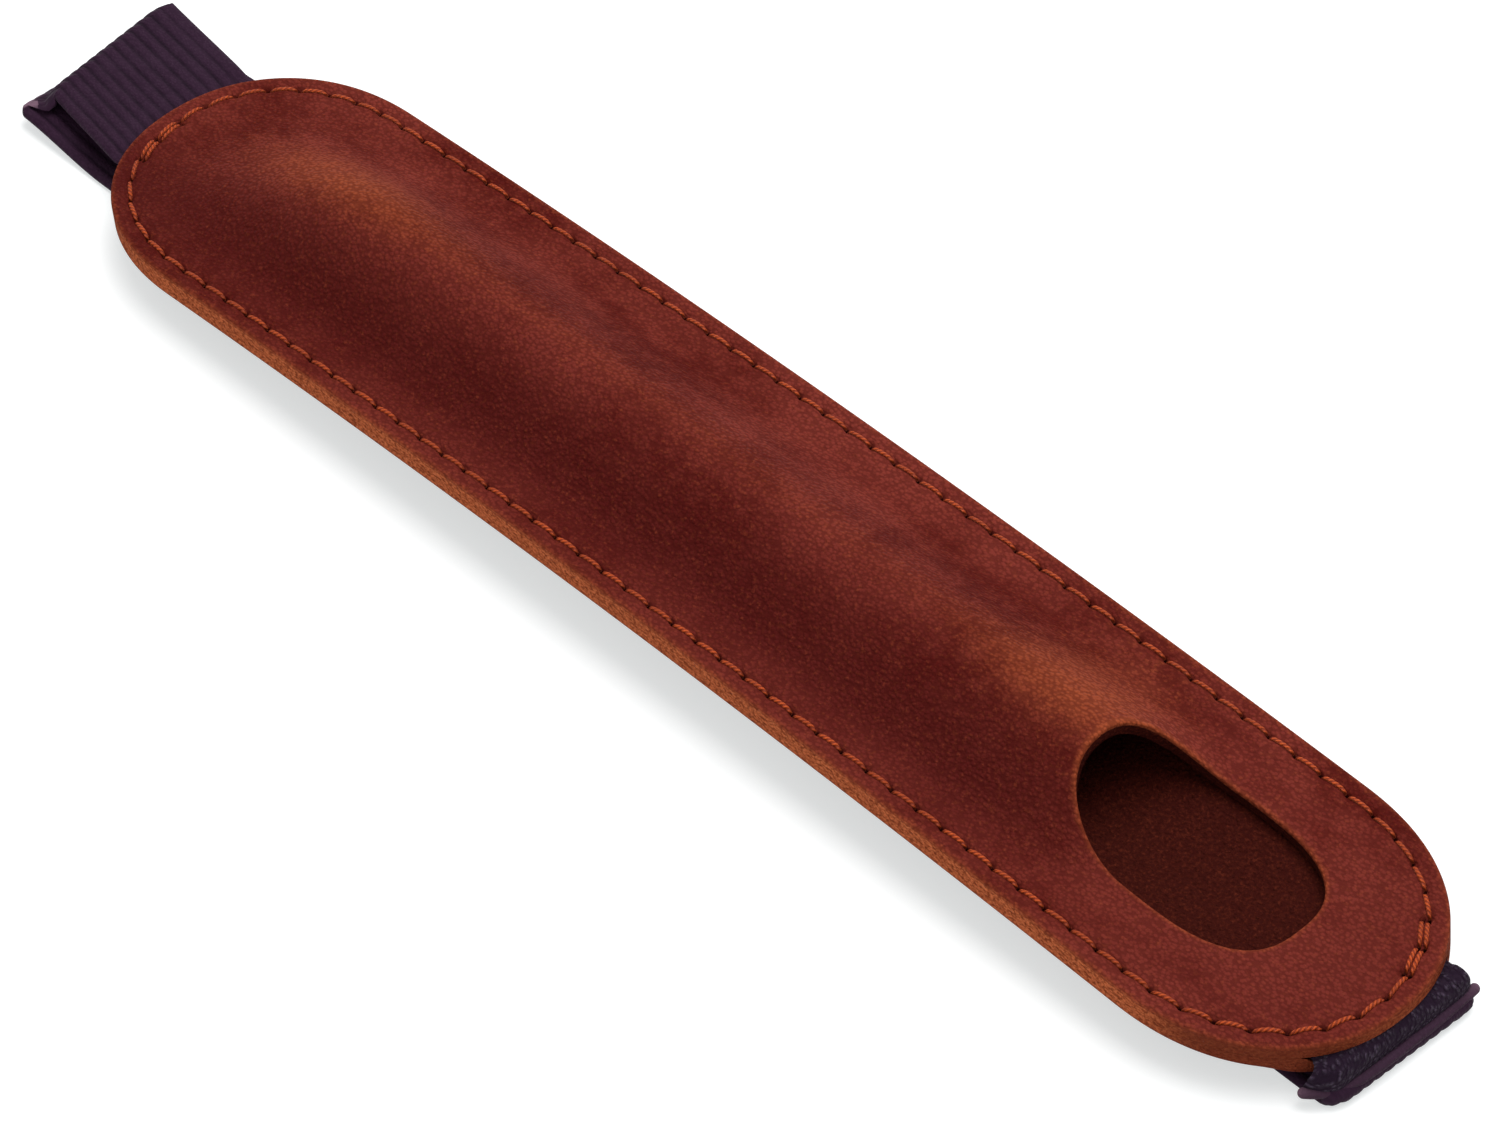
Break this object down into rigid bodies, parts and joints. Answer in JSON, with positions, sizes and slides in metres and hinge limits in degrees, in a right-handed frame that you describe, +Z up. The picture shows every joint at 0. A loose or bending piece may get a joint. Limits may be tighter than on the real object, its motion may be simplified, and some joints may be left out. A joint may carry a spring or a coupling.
{
  "type": "stylus holder",
  "caption": "Leather stylus sleeve with a moulded pocket, an oval window and an elastic strap that holds it on a notebook or tablet cover.",
  "frame": {"origin": "on the table, on the underside of the strap, under the middle of the sleeve's length and width", "axes": "+X along the sleeve towards the window, +Z up out of the front leather, +Y across the sleeve"},
  "size_m": [0.2203, 0.0376, 0.0163],
  "materials": {
    "front_leather": "waxed pull-up leather, red-brown with paler rubbed places, satin",
    "back_leather": "dark brown leather, matt",
    "thread": "twisted orange-brown sewing thread",
    "elastic": "ribbed dark elastic webbing"
  },
  "bodies": {
    "sleeve": {"front_panel": "front_leather", "back_panel": "back_leather", "needle_thread": "thread", "top_needle_lock": "thread", "bottom_needle_lock": "thread", "bobbin_thread": "thread", "top_bobbin_lock": "thread", "bottom_bobbin_lock": "thread", "strap_top_end": "elastic", "strap_bottom_end": "elastic"},
    "strap": {"strap_back_strand": "elastic"}
  },
  "joints": [
    {"name": "strap_pull", "type": "slide", "parent": "sleeve", "child": "strap", "axis": [0, 0, -1], "range_m": [0, 0.012], "stiffness_N_per_m": 150, "springref_m": -0.004, "deforming": ["strap_top_end", "strap_bottom_end"]}
  ]
}
